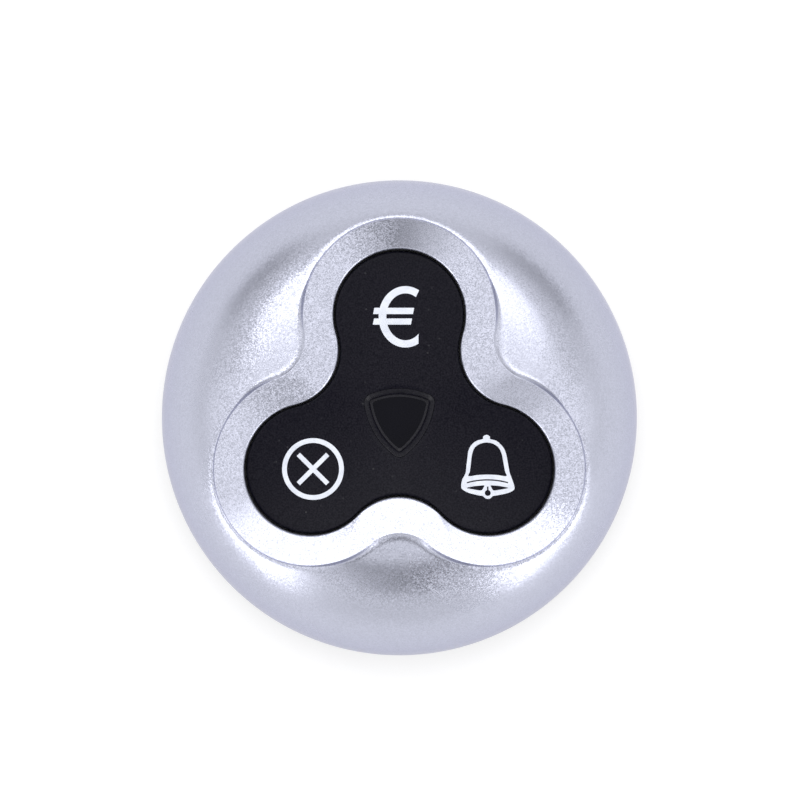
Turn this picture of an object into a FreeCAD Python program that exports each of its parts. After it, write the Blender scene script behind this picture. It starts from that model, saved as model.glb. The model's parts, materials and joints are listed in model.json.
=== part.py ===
import FreeCAD, Part
import math
import os

# A round table call button: silver shell, black three-lobed keypad, radio board, battery, twist-off base.
# Millimetres. Origin at the centre of the bottom face, +Z up, +Y toward the bill key.

# Whole device. Plan sizes follow the widest radius, levels follow the height.
height = 22.0
widest_r = 30.0
widest_height_share = 0.1818
overrun = 1.0
third_turn = 120.0
sixth_turn = third_turn / 2
quarter_turn = 90.0
bill_angle = 90.0
cancel_angle = bill_angle + third_turn
call_angle = cancel_angle + third_turn
key_angles = [bill_angle, cancel_angle, call_angle]
waist_angles = [angle - sixth_turn for angle in key_angles]

# Three-lobed opening, its funnel and its crest
lobe_centre_share = 0.4293
opening_lobe_share = 0.28
opening_fillet_share = 0.2313
crest_fillet_share = 0.15
funnel_width = 3.90
opening_drop = 1.40
funnel_share = 1.5
tower_tilt = 88.0
tower_rise = 1.0
tower_depth = 10.0
roof_depth = 3.60
lobe_centre_r = widest_r * lobe_centre_share
opening_lobe_r = widest_r * opening_lobe_share
opening_fillet_r = widest_r * opening_fillet_share
crest_lobe_r = opening_lobe_r + funnel_width
crest_fillet_r = widest_r * crest_fillet_share
opening_z = height - opening_drop
ceiling_z = height - roof_depth

# Outside of the shell: a plateau, a rounded shoulder and one long curve down to the widest place
plateau_tilt = 4.0
plateau_start_share = 0.4
plateau_end_share = 0.56
shoulder_tilt = 31.0
shoulder_end_share = 0.75
wall_lead_share = 0.88
wall_rise_share = 0.52
wall_thickness = 2.0
inner_start_share = 0.72
inner_tilt = 42.0
inner_lead_share = 0.356
inner_rise_share = 0.509
skirt_height = 0.70
skirt_inset = 0.30
pocket_offset = 2.40
widest_z = height * widest_height_share
skirt_z = widest_z - skirt_height
plateau_start_r = widest_r * plateau_start_share
plateau_end_r = widest_r * plateau_end_share
shoulder_end_r = widest_r * shoulder_end_share

# Keypad
key_clearance = 0.25
neck_share = 0.2
neck_gap = 0.25
trough_r = 37.0
trough_depth = 2.60
key_lift = 0.10
key_edge_r = 0.25
key_stock_rise = 2.0
flange_play = 0.10
flange_thickness = 0.70
flange_width = 2.0
post_centre_share = 0.3833
post_r = 1.0
post_length = 0.75
post_gap = 0.05
window_corner_share = 0.17
window_side_share = 0.1167
window_slope = 0.80
neck_distance = widest_r * neck_share
post_centre_r = widest_r * post_centre_share
window_corner_r = widest_r * window_corner_share
window_side_r = widest_r * window_side_share
trough_floor_z = height - trough_depth
window_floor_z = trough_floor_z - window_slope
key_bottom_z = ceiling_z + key_lift
key_stock_z = trough_floor_z + key_stock_rise
flange_top_z = ceiling_z - flange_play
flange_bottom_z = flange_top_z - flange_thickness

# Keypad frame, held by the heat stakes of the shell
frame_thickness = 0.70
frame_offset = 2.2
frame_stake_margin = 1.9
frame_stake_clearance = 0.05
frame_key_hole_r = 2.6
stake_centre_share = 0.4433
stake_r = 0.80
stake_length = 0.40
stake_centre_r = widest_r * stake_centre_share
frame_waist_r = stake_centre_r + frame_stake_margin
frame_bottom_z = flange_bottom_z - frame_thickness
stake_bottom_z = frame_bottom_z - stake_length

# Switches
switch_size = 6.0
switch_height = 2.8
switch_wall_r = 1.82
switch_floor_height = 0.8
cover_thickness = 0.25
cover_hole_r = 1.95
stem_r = 1.75
stem_top_height = 4.3
stem_bottom_height = 1.2
leg_width = 0.7
leg_thickness = 0.3
leg_spacing = 4.5
leg_depth = 2.4
leg_rise = 0.6
stem_top_z = key_bottom_z - post_length - post_gap

# Battery, lying along X
battery_r = 5.15
battery_length_share = 0.9167
battery_low_share = 0.4317
battery_centre_share = 0.4867
battery_edge = 0.5
battery_play = 0.40
battery_length = widest_r * battery_length_share
battery_low_x = -widest_r * battery_low_share
battery_high_x = battery_low_x + battery_length
battery_centre_y = -widest_r * battery_centre_share

# Circuit board
board_thickness = 1.6
board_margin = 5.0
board_boss_clearance = 0.2
board_battery_gap = 0.25
board_r = widest_r - board_margin
board_chord_y = battery_centre_y + battery_r + board_battery_gap
board_top_z = stem_top_z - stem_top_height
board_bottom_z = board_top_z - board_thickness
switch_top_z = board_top_z + switch_height

# Electronic parts on the board
led_base_size = 3.0
led_base_height = 0.6
led_dome_r = 1.2
led_height = 2.45
chip_shares = (-0.40, 0.18)
chip_length = 8.6
chip_width = 3.9
chip_height = 1.5
chip_lift = 0.15
chip_lead_count = 8
chip_lead_pitch = 1.05
chip_lead_width = 0.42
chip_lead_reach = 1.0
chip_lead_thickness = 0.2
resonator_shares = (0.44, 0.20)
resonator_r = 4.2
resonator_rim_r = 4.6
resonator_rim_height = 0.5
resonator_height = 3.0
transistor_shares = (0.224, 0.024)
transistor_length = 2.9
transistor_width = 1.3
transistor_height = 1.0
small_length = 1.6
small_width = 0.8
resistor_height = 0.45
capacitor_height = 0.80
resistor_shares = [(-0.7, 0.02), (-0.7, 0.1), (-0.7, 0.18), (-0.22, 0.68), (-0.32, 0.68), (0.68, -0.08)]
capacitor_shares = [(-0.7, -0.08), (-0.14, 0.272), (0.68, 0.02), (0.3, 0.48)]
coil_margin = 5.8
coil_length = 12.0
coil_r = 1.20
coil_wire_r = 0.28
coil_pitch = 1.2
coil_centre_y = board_r - coil_margin

# Light guide under the window
guide_clearance = 0.05
guide_led_gap = 0.15
guide_flange_r = 5.6
guide_flange_height = 0.6
guide_bottom_z = board_top_z + led_height + guide_led_gap

# Base cover, twisted onto the chassis
base_inset = 0.6
base_edge = 0.5
seal_gap = 0.30
seal_groove_depth = 0.70
seal_inset = 1.1
seal_width = 0.8
pad_inset = 4.4
pad_thickness = 0.8
pad_hole_r = 4.0
table_hole_r = 1.75
table_hole_x_share = 0.5
table_hole_y_share = 0.4
base_r = widest_r - base_inset
base_top_z = skirt_z - seal_gap
seal_outer_r = widest_r - seal_inset
seal_inner_r = seal_outer_r - seal_width
seal_low_z = base_top_z - seal_groove_depth
pad_r = base_r - pad_inset
table_hole_x = widest_r * table_hole_x_share
table_hole_y = widest_r * table_hole_y_share
battery_centre_z = base_top_z + battery_play + battery_r

# Chassis
deck_share = 0.3727
deck_thickness = 1.2
chassis_play = 0.6
chassis_wall = 1.1
chassis_lift = 0.4
well_play = 0.15
well_end_gap = 0.05
rib_share = 0.3
rib_thickness = 2.0
rib_wall = 1.05
rib_board_gap = 0.2
rib_clearance = 0.10
end_wall_thickness = 1.1
board_post_r = 1.6
board_post_margin = 4.2
board_post_inset = 8.5
board_post_y = 4.0
deck_high_z = height * deck_share
deck_low_z = deck_high_z - deck_thickness
chassis_r = widest_r - wall_thickness - chassis_play
chassis_low_z = base_top_z + chassis_lift
well_half_width = battery_r + well_play
rib_half_width = battery_r + rib_wall
rib_x = widest_r * rib_share
rib_high_z = board_bottom_z - rib_board_gap
board_post_x = board_r - board_post_inset
board_post_spots = [(0, board_r - board_post_margin), (-board_post_x, board_post_y), (board_post_x, board_post_y)]

# Twist lock: collar and lugs of the base, turned slots of the chassis
collar_play = 0.2
collar_thickness = 1.2
collar_deck_gap = 0.5
lug_length = 1.0
lug_height = 1.2
lug_half_angle = 8.0
lug_play_angle = 1.2
lug_play = 0.15
slot_roof_play = 0.25
twist_angle = 18.0
collar_r = chassis_r - chassis_wall - collar_play
collar_top_z = deck_low_z - collar_deck_gap
lug_r = collar_r + lug_length
lug_low_z = collar_top_z - lug_height
slot_low_z = lug_low_z - lug_play
slot_high_z = collar_top_z + slot_roof_play

# Battery cap, spring and contacts
cap_r = 2.2
cap_length = 1.0
spring_length = 2.65
spring_wire_r = 0.30
spring_coil_r = 3.2
spring_pitch = 1.1
contact_thickness = 0.40
contact_half_width = 3.5
contact_deck_overlap = 0.2
contact_board_gap = 0.1
arm_reach = 1.8
arm_height = 1.0
cap_high_x = battery_high_x + cap_length
spring_low_x = battery_low_x - spring_length
contact_low_z = deck_low_z - contact_deck_overlap
contact_high_z = board_bottom_z - contact_board_gap
arm_end_y = board_chord_y + arm_reach
arm_low_z = board_bottom_z - arm_height

# Screw bosses of the shell: two through the board, one behind the battery
boss_inset = 7.7
boss_r = 2.20
boss_shoulder_r = 3.20
boss_battery_gap = 0.35
boss_centre_r = widest_r - boss_inset
rear_boss_centre_r = battery_r + boss_battery_gap + boss_r - battery_centre_y
boss_spots = [
    (boss_centre_r, waist_angles[0]),
    (boss_centre_r, waist_angles[1]),
    (rear_boss_centre_r, waist_angles[2]),
]

# Screws that hold chassis, board and shell together
screw_r = 0.95
screw_clearance = 0.03
screw_hole_clearance = 0.25
screw_head_r = 1.9
screw_head_height = 1.4
screw_length = 7.0
screw_slot_width = 0.5
screw_slot_depth = 0.6
screw_slot_length = 1.3


# Helpers
def at(x=0, y=0, z=0):
    return FreeCAD.Vector(x, y, z)


up = at(z=1)
axis_x = at(x=1)
axis_y = at(y=1)


def polar(radius, angle, z=0):
    """Point at a radius and an angle in degrees about the centre axis."""
    turn = math.radians(angle)
    return at(radius * math.cos(turn), radius * math.sin(turn), z)


def disc(radius, low, high, x=0, y=0):
    return Part.makeCylinder(radius, high - low, at(x, y, low), up)


def ring(outer, inner, low, high):
    return disc(outer, low, high).cut(disc(inner, low - overrun, high + overrun))


def disc_at(radius, low, high, reach, angle):
    spot = polar(reach, angle)
    return disc(radius, low, high, spot.x, spot.y)


def block(low, high):
    return Part.makeBox(high[0] - low[0], high[1] - low[1], high[2] - low[2], at(*low))


def block_at(x, y, low, size_x, size_y, size_z):
    """Block centred on x and y that stands on a height."""
    return Part.makeBox(size_x, size_y, size_z, at(x - size_x / 2, y - size_y / 2, low))


def turned(shape, angle):
    copy = shape.copy()
    copy.rotate(at(), up, angle)
    return copy


def joined(shapes):
    return shapes[0].multiFuse(shapes[1:]).removeSplitter()


def together(shapes):
    return Part.makeCompound(shapes)


def prism(wire, low, high):
    """Straight solid of a flat wire drawn at the low height."""
    return Part.Face(wire).extrude(at(z=high - low))


def arc_wire(points):
    """Closed wire of arcs: each arc is a start and a middle point, and ends at the next start."""
    arcs = []
    for place, (start, middle) in enumerate(points):
        end = points[(place + 1) % len(points)][0]
        arcs.append(Part.Arc(start, middle, end).toShape())
    return Part.Wire(arcs)


def polygon_prism(points, low, high):
    wire = Part.makePolygon(points + points[:1])
    return prism(wire, low, high)


def revolved(edges):
    return Part.Face(Part.Wire(edges)).revolve(at(), up, 3 * third_turn)


def line(start, end):
    return Part.makeLine(start, end)


# Three-lobed outlines
def fillet_centre_reach(lobe_r, fillet_r):
    across = lobe_centre_r * math.sin(math.radians(sixth_turn))
    along = lobe_centre_r * math.cos(math.radians(sixth_turn))
    return along + math.sqrt((lobe_r + fillet_r) ** 2 - across**2)


def trefoil(lobe_r, fillet_r, z):
    """Outline of three lobes joined by concave fillets, at one height."""
    fillet_reach = fillet_centre_reach(lobe_r, fillet_r)
    touch_share = lobe_r / (lobe_r + fillet_r)
    points = []
    for angle in key_angles:
        lobe = polar(lobe_centre_r, angle, z)
        before = polar(fillet_reach, angle - sixth_turn, z)
        after = polar(fillet_reach, angle + sixth_turn, z)
        start = lobe + (before - lobe) * touch_share
        end = lobe + (after - lobe) * touch_share
        points.append((start, polar(lobe_centre_r + lobe_r, angle, z)))
        points.append((end, polar(fillet_reach - fillet_r, angle + sixth_turn, z)))
    return arc_wire(points)


def opening_outline(offset, z):
    return trefoil(opening_lobe_r + offset, opening_fillet_r - offset, z)


def opening_prism(offset, low, high):
    return prism(opening_outline(offset, low), low, high)


def window_outline(inset, z):
    """Bulged triangle with its corners toward the waists."""
    points = []
    for angle in waist_angles:
        corner = polar(window_corner_r - inset, angle, z)
        side = polar(window_side_r - inset, angle + sixth_turn, z)
        points.append((corner, side))
    return arc_wire(points)


def window_prism(inset, low, high):
    return prism(window_outline(inset, low), low, high)


# Outside profile of the shell
def tilt_arc(start, end_r, low_tilt, high_tilt):
    """Convex arc from a point to a radius while the surface tilt grows: its edge and its end."""
    low = math.radians(low_tilt)
    high = math.radians(high_tilt)
    middle = math.radians((low_tilt + high_tilt) / 2)
    radius = (end_r - start.x) / (math.sin(high) - math.sin(low))
    centre = at(start.x - radius * math.sin(low), 0, start.z - radius * math.cos(low))
    end = centre + at(radius * math.sin(high), 0, radius * math.cos(high))
    halfway = centre + at(radius * math.sin(middle), 0, radius * math.cos(middle))
    return Part.Arc(start, halfway, end).toShape(), end


def wall_curve(start, tilt, end, lead_share, rise_share):
    """Curve that leaves a point at a tilt and reaches the widest place upright."""
    turn = math.radians(tilt)
    lead = (end.x - start.x) * lead_share
    first = start + at(lead * math.cos(turn), 0, -lead * math.sin(turn))
    last = end + at(z=(start.z - end.z) * rise_share)
    curve = Part.BezierCurve()
    curve.setPoles([start, first, last, end])
    return curve.toShape()


waist_crest_r = fillet_centre_reach(crest_lobe_r, crest_fillet_r) - crest_fillet_r
plateau_slope = math.tan(math.radians(plateau_tilt))
plateau_start = at(plateau_start_r, 0, height + (waist_crest_r - plateau_start_r) * plateau_slope)
plateau_end = at(plateau_end_r, 0, height - (plateau_end_r - waist_crest_r) * plateau_slope)
shoulder_edge, shoulder_end = tilt_arc(plateau_end, shoulder_end_r, plateau_tilt, shoulder_tilt)
wall_end = at(widest_r, 0, widest_z)
inner_end = at(widest_r - wall_thickness, 0, widest_z)


# Shell
def shell_body():
    low_in = at(0, 0, skirt_z)
    low_out = at(widest_r - skirt_inset, 0, skirt_z)
    peak = at(0, 0, plateau_start.z)
    edges = [
        line(low_in, low_out),
        line(low_out, wall_end),
        wall_curve(shoulder_end, shoulder_tilt, wall_end, wall_lead_share, wall_rise_share),
        shoulder_edge,
        line(plateau_end, plateau_start),
        line(plateau_start, peak),
        line(peak, low_in),
    ]
    return revolved(edges)


def shell_tower():
    """Upright three-lobed wall that carries the crest over the falling shoulder."""
    slope = math.tan(math.radians(tower_tilt))
    rise = tower_rise / slope
    fall = tower_depth / slope
    top = trefoil(crest_lobe_r - rise, crest_fillet_r + rise, height + tower_rise)
    bottom = trefoil(crest_lobe_r + fall, crest_fillet_r - fall, height - tower_depth)
    return Part.makeLoft([bottom, top], True, True)


def funnel_space():
    lobe_growth = (crest_lobe_r - opening_lobe_r) * funnel_share
    fillet_growth = (crest_fillet_r - opening_fillet_r) * funnel_share
    low = opening_outline(0, opening_z)
    high_z = opening_z + opening_drop * funnel_share
    high = trefoil(opening_lobe_r + lobe_growth, opening_fillet_r + fillet_growth, high_z)
    tip_r = lobe_centre_r + opening_lobe_r + lobe_growth
    cap = disc(tip_r, high_z, high_z + tower_rise)
    return Part.makeLoft([low, high], True, True).fuse(cap)


def shell_cavity():
    start = at(widest_r * inner_start_share, 0, ceiling_z)
    low_z = skirt_z - overrun
    edges = [
        line(at(z=low_z), at(inner_end.x, 0, low_z)),
        line(at(inner_end.x, 0, low_z), inner_end),
        wall_curve(start, inner_tilt, inner_end, inner_lead_share, inner_rise_share),
        line(start, at(z=ceiling_z)),
        line(at(z=ceiling_z), at(z=low_z)),
    ]
    return revolved(edges)


def boss(reach, angle):
    """Post from the chassis deck to the roof, with a shoulder over the board."""
    low = disc_at(boss_r, deck_high_z, board_top_z, reach, angle)
    return low.fuse(disc_at(boss_shoulder_r, board_top_z, ceiling_z + overrun, reach, angle))


def top_shell():
    outside = shell_body().fuse(shell_tower())
    hollow = outside.cut(funnel_space())
    hollow = hollow.cut(opening_prism(0, ceiling_z - overrun, height + overrun))
    hollow = hollow.cut(shell_cavity())
    hollow = hollow.cut(opening_prism(pocket_offset, skirt_z, ceiling_z))
    bosses = [boss(reach, angle).common(outside) for reach, angle in boss_spots]
    stakes = [disc_at(stake_r, stake_bottom_z, ceiling_z, stake_centre_r, angle) for angle in waist_angles]
    solid = hollow.multiFuse(bosses + stakes).removeSplitter()
    pilot_top_z = deck_low_z + screw_length + screw_clearance
    for reach, angle in boss_spots:
        solid = solid.cut(disc_at(screw_r + screw_clearance, deck_low_z, pilot_top_z, reach, angle))
    return solid


# Keypad
def pad_stock():
    """Whole rubber top with its three shallow troughs, before the keys are parted from the hub."""
    stock = opening_prism(-key_clearance, key_bottom_z, key_stock_z)
    for angle in key_angles:
        reach = widest_r
        trough = Part.makeCylinder(trough_r, reach, at(z=trough_floor_z + trough_r), axis_x)
        trough = turned(trough, angle)
        corners = [at(z=key_bottom_z), polar(reach, angle - sixth_turn, key_bottom_z)]
        corners.append(polar(reach / math.cos(math.radians(sixth_turn)), angle, key_bottom_z))
        corners.append(polar(reach, angle + sixth_turn, key_bottom_z))
        stock = stock.cut(trough.common(polygon_prism(corners, key_bottom_z, key_stock_z)))
    return stock


def hub_triangle(low, high):
    corner_reach = neck_distance / math.cos(math.radians(sixth_turn))
    corners = [polar(corner_reach, angle, low) for angle in waist_angles]
    return polygon_prism(corners, low, high)


def beyond_neck(angle):
    low_x = neck_distance + neck_gap
    half_width = lobe_centre_r
    low = (low_x, -half_width, key_bottom_z - overrun)
    return turned(block(low, (widest_r, half_width, key_stock_z)), angle)


def softened(shape, least_reach):
    """Rounds the top edges that lie further out than a reach."""
    edges = []
    for edge in shape.Edges:
        middle = edge.valueAt((edge.FirstParameter + edge.LastParameter) / 2)
        if edge.BoundBox.ZMin > key_bottom_z + key_edge_r and math.hypot(middle.x, middle.y) > least_reach:
            edges.append(edge)
    return shape.makeFillet(key_edge_r, edges)


def key(angle):
    """Rubber lobe with the post that presses its switch."""
    lobe = softened(pad_stock().common(beyond_neck(angle)), neck_distance + neck_gap * 2)
    post = disc_at(post_r, stem_top_z + post_gap, key_bottom_z, post_centre_r, angle)
    return joined([lobe, post])


def window_slope_cut():
    high_z = window_floor_z + window_slope
    grown = window_slope * funnel_share
    sunk = window_floor_z - window_slope
    low = window_outline(window_slope * 2, sunk)
    high = window_outline(window_slope - grown, high_z + grown - window_slope)
    return Part.makeLoft([low, high], True, True)


def keypad_web():
    hub = pad_stock().common(hub_triangle(key_bottom_z, key_stock_z))
    hub = softened(hub, opening_lobe_r)
    plate = opening_prism(flange_width, flange_bottom_z, flange_top_z)
    ring_cut = opening_prism(0, flange_bottom_z - overrun, flange_top_z + overrun)
    flange = plate.cut(ring_cut)
    root = joined([
        hub_triangle(flange_bottom_z, flange_top_z).common(plate),
        hub_triangle(flange_top_z, key_bottom_z).common(opening_prism(-key_clearance, flange_top_z, key_bottom_z)),
    ])
    web = joined([hub, root, flange])
    web = web.cut(window_slope_cut())
    return web.cut(window_prism(window_slope, flange_bottom_z - overrun, trough_floor_z))


def status_lens():
    inset = window_slope + guide_clearance
    guide = window_prism(inset, guide_bottom_z, window_floor_z)
    return joined([guide, disc(guide_flange_r, frame_bottom_z - guide_flange_height, frame_bottom_z)])


def keypad_frame():
    plate = joined([
        opening_prism(frame_offset, frame_bottom_z, flange_bottom_z),
        disc(frame_waist_r, frame_bottom_z, flange_bottom_z),
    ])
    low = frame_bottom_z - overrun
    high = flange_bottom_z + overrun
    for angle in key_angles:
        plate = plate.cut(disc_at(frame_key_hole_r, low, high, post_centre_r, angle))
    for angle in waist_angles:
        plate = plate.cut(disc_at(stake_r + frame_stake_clearance, low, high, stake_centre_r, angle))
    return plate.cut(window_prism(window_slope, low, high))


# Circuit board and switches
def circuit_board():
    half_plane = block((-widest_r, board_chord_y, board_bottom_z), (widest_r, widest_r, board_top_z))
    board = disc(board_r, board_bottom_z, board_top_z).common(half_plane)
    low = board_bottom_z - overrun
    high = board_top_z + overrun
    for reach, angle in boss_spots:
        board = board.cut(disc_at(boss_r + board_boss_clearance, low, high, reach, angle))
    return board.cut(leg_set(low, high))


def leg_set(low, high):
    """Square legs of the three switches between two heights."""
    legs = []
    for angle in key_angles:
        for side_x in (-1, 1):
            for side_y in (-1, 1):
                x = post_centre_r + side_x * leg_spacing / 2
                y = side_y * (switch_size / 2 - leg_thickness)
                leg = block_at(x, y, low, leg_width, leg_thickness, high - low)
                legs.append(turned(leg, angle))
    return together(legs)


def switch_block(low, high, hole_r, hole_low):
    shapes = []
    for angle in key_angles:
        body = turned(block_at(post_centre_r, 0, low, switch_size, switch_size, high - low), angle)
        shapes.append(body.cut(disc_at(hole_r, hole_low, high + overrun, post_centre_r, angle)))
    return shapes


def switch_bodies():
    bodies = switch_block(board_top_z, switch_top_z, switch_wall_r, board_top_z + switch_floor_height)
    pockets = leg_set(board_top_z, board_top_z + leg_rise)
    return together([body.cut(pockets) for body in bodies])


def switch_covers():
    high = switch_top_z + cover_thickness
    return together(switch_block(switch_top_z, high, cover_hole_r, switch_top_z - overrun))


def switch_legs():
    return leg_set(board_top_z - leg_depth, board_top_z + leg_rise)


def stem(angle):
    return disc_at(stem_r, board_top_z + stem_bottom_height, stem_top_z, post_centre_r, angle)


# Electronic parts
def board_spot(shares):
    """Place on the board, as shares of its radius."""
    return shares[0] * board_r, shares[1] * board_r


def status_led():
    base = block_at(0, 0, board_top_z, led_base_size, led_base_size, led_base_height)
    dome_z = board_top_z + led_height - led_dome_r
    column = disc(led_dome_r, board_top_z, dome_z)
    return joined([base, column, Part.makeSphere(led_dome_r, at(z=dome_z))])


def encoder_chip():
    x, y = board_spot(chip_shares)
    return block_at(x, y, board_top_z + chip_lift, chip_width, chip_length, chip_height)


def chip_leads():
    leads = []
    x, y = board_spot(chip_shares)
    for side in (-1, 1):
        for place in range(chip_lead_count):
            lead_y = y + (place - (chip_lead_count - 1) / 2) * chip_lead_pitch
            lead_x = x + side * (chip_width + chip_lead_reach) / 2
            foot = block_at(lead_x, lead_y, board_top_z, chip_lead_reach, chip_lead_width, chip_lead_thickness)
            riser_x = x + side * (chip_width + chip_lead_thickness) / 2
            riser = block_at(riser_x, lead_y, board_top_z, chip_lead_thickness, chip_lead_width, chip_height / 2)
            leads.append(joined([foot, riser]))
    return together(leads)


def saw_resonator():
    x, y = board_spot(resonator_shares)
    rim = disc(resonator_rim_r, board_top_z, board_top_z + resonator_rim_height, x, y)
    return joined([rim, disc(resonator_r, board_top_z, board_top_z + resonator_height, x, y)])


def rf_transistor():
    x, y = board_spot(transistor_shares)
    return block_at(x, y, board_top_z, transistor_length, transistor_width, transistor_height)


def small_parts(shares, part_height):
    spots = [board_spot(share) for share in shares]
    return together([block_at(x, y, board_top_z, small_length, small_width, part_height) for x, y in spots])


def coil(wire_r, mean_r, pitch, length, low_x, y, z):
    """Round wire wound along X."""
    path = Part.makeLongHelix(pitch, length, mean_r)
    start_direction = at(0, math.tau * mean_r, pitch)
    ring_wire = Part.Wire(Part.makeCircle(wire_r, at(mean_r), start_direction))
    wound = path.makePipeShell([ring_wire], True, True)
    wound.rotate(at(), axis_y, quarter_turn)
    wound.translate(at(low_x, y, z))
    return wound


def antenna_coil():
    z = board_top_z + coil_r + coil_wire_r
    return coil(coil_wire_r, coil_r, coil_pitch, coil_length, -coil_length / 2, coil_centre_y, z)


# Battery, its spring and its contacts
def along_x(radius, low, high):
    spot = at(low, battery_centre_y, battery_centre_z)
    return Part.makeCylinder(radius, high - low, spot, axis_x)


def battery():
    inner_r = battery_r - battery_edge
    middle = along_x(battery_r, battery_low_x + battery_edge, battery_high_x - battery_edge)
    return joined([middle, along_x(inner_r, battery_low_x, battery_high_x)])


def battery_cap():
    return along_x(cap_r, battery_high_x, cap_high_x)


def battery_spring():
    start = spring_low_x + spring_wire_r
    length = spring_length - spring_wire_r * 2
    return coil(spring_wire_r, spring_coil_r, spring_pitch, length, start, battery_centre_y, battery_centre_z)


def contact(low_x):
    """Sprung metal plate with an arm that reaches the board's underside."""
    high_x = low_x + contact_thickness
    low_y = battery_centre_y - contact_half_width
    high_y = battery_centre_y + contact_half_width
    plate = block((low_x, low_y, contact_low_z), (high_x, high_y, contact_high_z))
    arm = block((low_x, low_y, arm_low_z), (high_x, arm_end_y, board_bottom_z))
    arm = arm.common(block((low_x, high_y - overrun, arm_low_z), (high_x, arm_end_y, board_bottom_z)))
    return joined([plate, arm])


def battery_contacts():
    return together([contact(spring_low_x - contact_thickness), contact(cap_high_x)])


# Chassis
def lug_windows():
    """Turned slots of the twist lock, with the notches that let the lugs in."""
    reach = chassis_r + overrun
    cuts = []
    for angle in waist_angles:
        slot_start = angle - twist_angle - lug_half_angle - lug_play_angle
        slot_angle = twist_angle + (lug_half_angle + lug_play_angle) * 2
        entry_angle = (lug_half_angle + lug_play_angle) * 2
        slot = Part.makeCylinder(reach, slot_high_z - slot_low_z, at(z=slot_low_z), up, slot_angle)
        entry = Part.makeCylinder(reach, slot_high_z - skirt_z + overrun, at(z=skirt_z - overrun), up, entry_angle)
        cuts.append(turned(slot, slot_start))
        cuts.append(turned(entry, slot_start))
    band = ring(reach, chassis_r - chassis_wall - overrun / 2, skirt_z - overrun, slot_high_z)
    return joined(cuts).common(band)


def chassis():
    wall = ring(chassis_r, chassis_r - chassis_wall, chassis_low_z, deck_low_z).cut(lug_windows())
    deck = disc(chassis_r, deck_low_z, deck_high_z)
    end_low_x = spring_low_x - contact_thickness
    end_high_x = cap_high_x + contact_thickness
    well_low = (end_low_x - well_end_gap, battery_centre_y - well_half_width, deck_low_z - overrun)
    well_high = (end_high_x + well_end_gap, battery_centre_y + well_half_width, deck_high_z + overrun)
    deck = deck.cut(block(well_low, well_high))
    shapes = [wall, deck]
    for x in (-rib_x, rib_x):
        low = (x - rib_thickness / 2, battery_centre_y - rib_half_width, deck_low_z)
        high = (x + rib_thickness / 2, battery_centre_y + rib_half_width, rib_high_z)
        shapes.append(block(low, high))
    low_y = battery_centre_y - contact_half_width
    high_y = battery_centre_y + contact_half_width
    for low_x in (well_low[0] - end_wall_thickness, well_high[0]):
        wall_high = (low_x + end_wall_thickness, high_y, rib_high_z)
        shapes.append(block((low_x, low_y, deck_low_z), wall_high))
    for x, y in board_post_spots:
        shapes.append(disc(board_post_r, deck_low_z, board_bottom_z, x, y))
    solid = joined(shapes)
    solid = solid.cut(along_x(battery_r + rib_clearance, battery_low_x, battery_high_x))
    low = deck_low_z - overrun
    high = deck_high_z + overrun
    for reach, angle in boss_spots:
        solid = solid.cut(disc_at(screw_r + screw_hole_clearance, low, high, reach, angle))
    return solid


def chassis_screw(reach, angle):
    head_low = deck_low_z - screw_head_height
    head = disc_at(screw_head_r, head_low, deck_low_z, reach, angle)
    shank = disc_at(screw_r, deck_low_z, deck_low_z + screw_length, reach, angle)
    spot = polar(reach, angle)
    for size_x, size_y in ((screw_slot_length, screw_slot_width), (screw_slot_width, screw_slot_length)):
        head = head.cut(block_at(spot.x, spot.y, head_low, size_x * 2, size_y * 2, screw_slot_depth))
    return joined([head, shank])


def chassis_screws():
    return together([chassis_screw(reach, angle) for reach, angle in boss_spots])


# Base
def table_holes(radius, low, high):
    return [disc(radius, low, high, x, table_hole_y) for x in (-table_hole_x, table_hole_x)]


def base_cover():
    cover = disc(base_r, pad_thickness, base_top_z)
    bottom_edge = [edge for edge in cover.Edges if edge.BoundBox.ZMax < pad_thickness + base_edge]
    cover = cover.makeChamfer(base_edge, bottom_edge)
    cover = cover.cut(ring(seal_outer_r, seal_inner_r, seal_low_z, base_top_z + overrun))
    collar = ring(collar_r, collar_r - collar_thickness, base_top_z, collar_top_z)
    lugs = []
    for angle in waist_angles:
        lug = Part.makeCylinder(lug_r, collar_top_z - lug_low_z, at(z=lug_low_z), up, lug_half_angle * 2)
        lug = turned(lug, angle - lug_half_angle)
        lugs.append(lug.cut(disc(collar_r - collar_thickness / 2, lug_low_z - overrun, collar_top_z + overrun)))
    cover = joined([cover, collar] + lugs)
    for hole in table_holes(table_hole_r, 0, collar_top_z):
        cover = cover.cut(hole)
    return cover


def seal_ring():
    return ring(seal_outer_r, seal_inner_r, seal_low_z, skirt_z)


def adhesive_pad():
    pad = disc(pad_r, 0, pad_thickness)
    for hole in table_holes(pad_hole_r, -overrun, pad_thickness + overrun):
        pad = pad.cut(hole)
    return pad


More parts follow.
